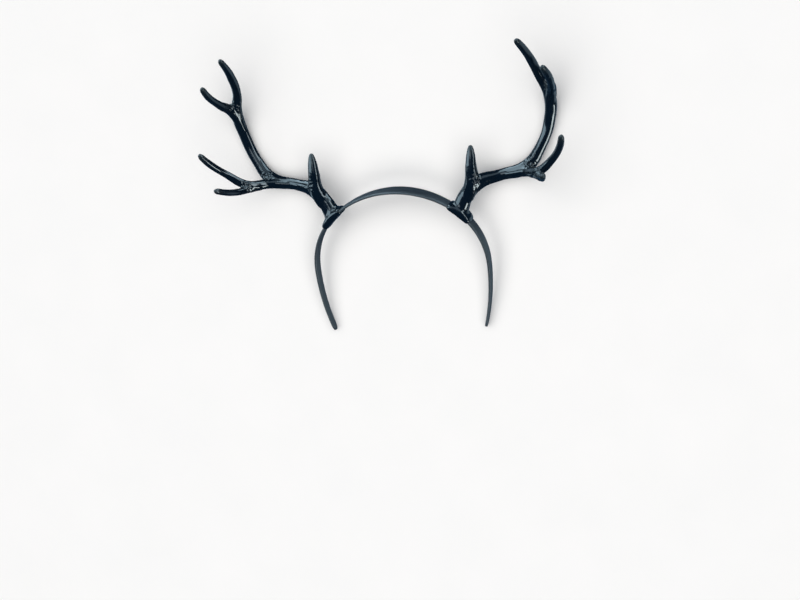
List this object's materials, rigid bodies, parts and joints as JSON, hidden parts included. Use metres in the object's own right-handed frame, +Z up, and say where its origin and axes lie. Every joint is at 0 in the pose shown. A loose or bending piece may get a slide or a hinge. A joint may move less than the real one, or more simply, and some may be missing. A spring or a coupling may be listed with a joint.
{
  "type": "antler headband",
  "caption": "Arched plastic headband that carries a branching antler on either side, worn over the head as costume headwear.",
  "frame": {"origin": "on the surface that it lies on, below the middle of its box", "axes": "+X to the wearer's left, +Y from the band's tips towards the tops of the antlers, +Z up, the way the worn headband faces"},
  "size_m": [0.3098, 0.2396, 0.0702],
  "materials": {
    "band": "satin black moulded plastic",
    "antler": "glossy blue-black moulded plastic"
  },
  "bodies": {
    "root": {"headband": "band", "antler_left": "antler", "antler_right": "antler"}
  },
  "joints": []
}
